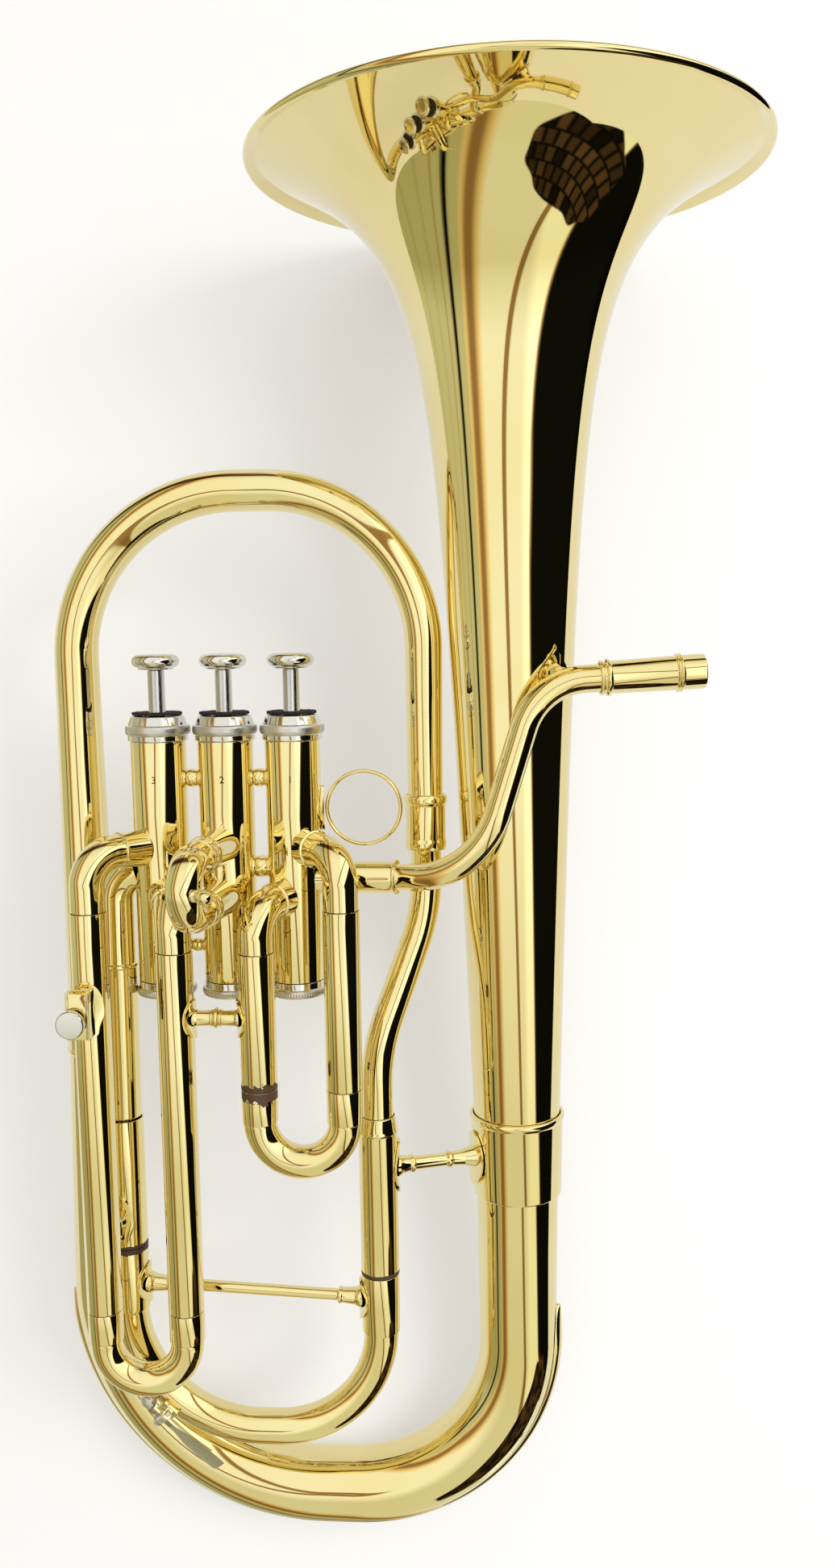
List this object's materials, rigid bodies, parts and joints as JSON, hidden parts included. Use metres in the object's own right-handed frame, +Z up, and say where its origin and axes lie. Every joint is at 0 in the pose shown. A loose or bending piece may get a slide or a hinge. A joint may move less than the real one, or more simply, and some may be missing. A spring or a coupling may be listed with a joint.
{
  "type": "alto horn",
  "caption": "Upright-bell alto horn with piston valves, tuning slide and water key, lying on its back.",
  "frame": {"origin": "centre of the bounding box on the table that the horn lies on", "axes": "+Z up from the table, +Y towards the bell mouth, +X towards the mouthpiece receiver"},
  "size_m": [0.2936, 0.5804, 0.2005],
  "materials": {
    "lacquer": "polished brass under clear gold lacquer",
    "nickel": "polished nickel plate",
    "piston": "honed nickel alloy",
    "felt": "black pressed felt",
    "cork": "natural cork",
    "steel": "bright spring wire"
  },
  "bodies": {
    "horn": {"bell": "lacquer", "bell_ferrule": "lacquer", "bottom_bow": "lacquer", "bow_guard": "lacquer", "top_bow": "lacquer", "branch_ferrule": "lacquer", "top_bow_ferrule": "lacquer", "return_pipe": "lacquer", "main_sleeve_right": "lacquer", "main_outlet_elbow": "lacquer", "main_sleeve_left": "lacquer", "casing_1": "lacquer", "top_cap_1": "nickel", "cap_felt_1": "felt", "bottom_cap_1": "nickel", "valve_spring_1": "steel", "top_cap_2": "nickel", "cap_felt_2": "felt", "bottom_cap_2": "nickel", "valve_spring_2": "steel", "casing_3": "lacquer", "top_cap_3": "nickel", "cap_felt_3": "felt", "bottom_cap_3": "nickel", "valve_spring_3": "steel", "casing_2": "lacquer", "slide_1_knuckle_upper": "lacquer", "slide_1_sleeve_upper": "lacquer", "slide_1_knuckle_lower": "lacquer", "slide_1_sleeve_lower": "lacquer", "slide_2_sleeve_upper": "lacquer", "slide_2_sleeve_lower": "lacquer", "slide_3_knuckle_upper": "lacquer", "slide_3_sleeve_upper": "lacquer", "slide_3_knuckle_lower": "lacquer", "slide_3_sleeve_lower": "lacquer", "receiver": "lacquer", "leadpipe": "lacquer", "leadpipe_saddle": "lacquer", "finger_ring": "lacquer", "bell_brace": "lacquer", "slide_brace": "lacquer", "sleeve_post": "lacquer", "lyre_box": "lacquer"},
    "valve_1": {"piston_1": "piston", "button_1": "nickel"},
    "valve_2": {"piston_2": "piston", "button_2": "nickel"},
    "valve_3": {"piston_3": "piston", "button_3": "nickel"},
    "first_slide": {"slide_1_crook": "lacquer"},
    "second_slide": {"slide_2_crook": "lacquer"},
    "third_slide": {"slide_3_crook": "lacquer"},
    "tuning_slide": {"main_slide_bow": "lacquer", "main_slide_brace": "lacquer", "water_key_saddle": "lacquer", "water_key_spring": "steel"},
    "water_key": {"water_key_lever": "nickel", "water_key_cork": "cork"},
    "lyre_clamp": {"lyre_screw": "nickel"}
  },
  "joints": [
    {"name": "valve_1_press", "type": "slide", "parent": "horn", "child": "valve_1", "axis": [0, -0.9894, -0.1449], "range_m": [0, 0.0155], "stiffness_N_per_m": 100, "springref_m": -0.02, "deforming": ["valve_spring_1"]},
    {"name": "valve_2_press", "type": "slide", "parent": "horn", "child": "valve_2", "axis": [0, -0.9894, -0.1449], "range_m": [0, 0.0155], "stiffness_N_per_m": 100, "springref_m": -0.02, "deforming": ["valve_spring_2"]},
    {"name": "valve_3_press", "type": "slide", "parent": "horn", "child": "valve_3", "axis": [0, -0.9894, -0.1449], "range_m": [0, 0.0155], "stiffness_N_per_m": 100, "springref_m": -0.02, "deforming": ["valve_spring_3"]},
    {"name": "first_slide_pull", "type": "slide", "parent": "horn", "child": "first_slide", "axis": [0, -0.9894, -0.1449], "range_m": [0, 0.035]},
    {"name": "second_slide_pull", "type": "slide", "parent": "horn", "child": "second_slide", "axis": [-0.1715, -0.1427, 0.9748], "range_m": [0, 0.01]},
    {"name": "third_slide_pull", "type": "slide", "parent": "horn", "child": "third_slide", "axis": [0, -0.9894, -0.1449], "range_m": [0, 0.045]},
    {"name": "tuning_slide_pull", "type": "slide", "parent": "horn", "child": "tuning_slide", "axis": [0, -0.9894, -0.1449], "range_m": [0, 0.03]},
    {"name": "water_key_press", "type": "hinge", "parent": "tuning_slide", "child": "water_key", "pos_m": [-0.10117, -0.22698, 0.05133], "axis": [0.5315, 0.5472, 0.6466], "range_deg": [0, 10], "stiffness_Nm_per_rad": 0.02, "springref_deg": -28.65},
    {"name": "lyre_clamp_turn", "type": "hinge", "parent": "horn", "child": "lyre_clamp", "pos_m": [-0.12367, -0.05503, 0.10325], "axis": [-0.0558, -0.1447, 0.9879], "continuous": true}
  ]
}
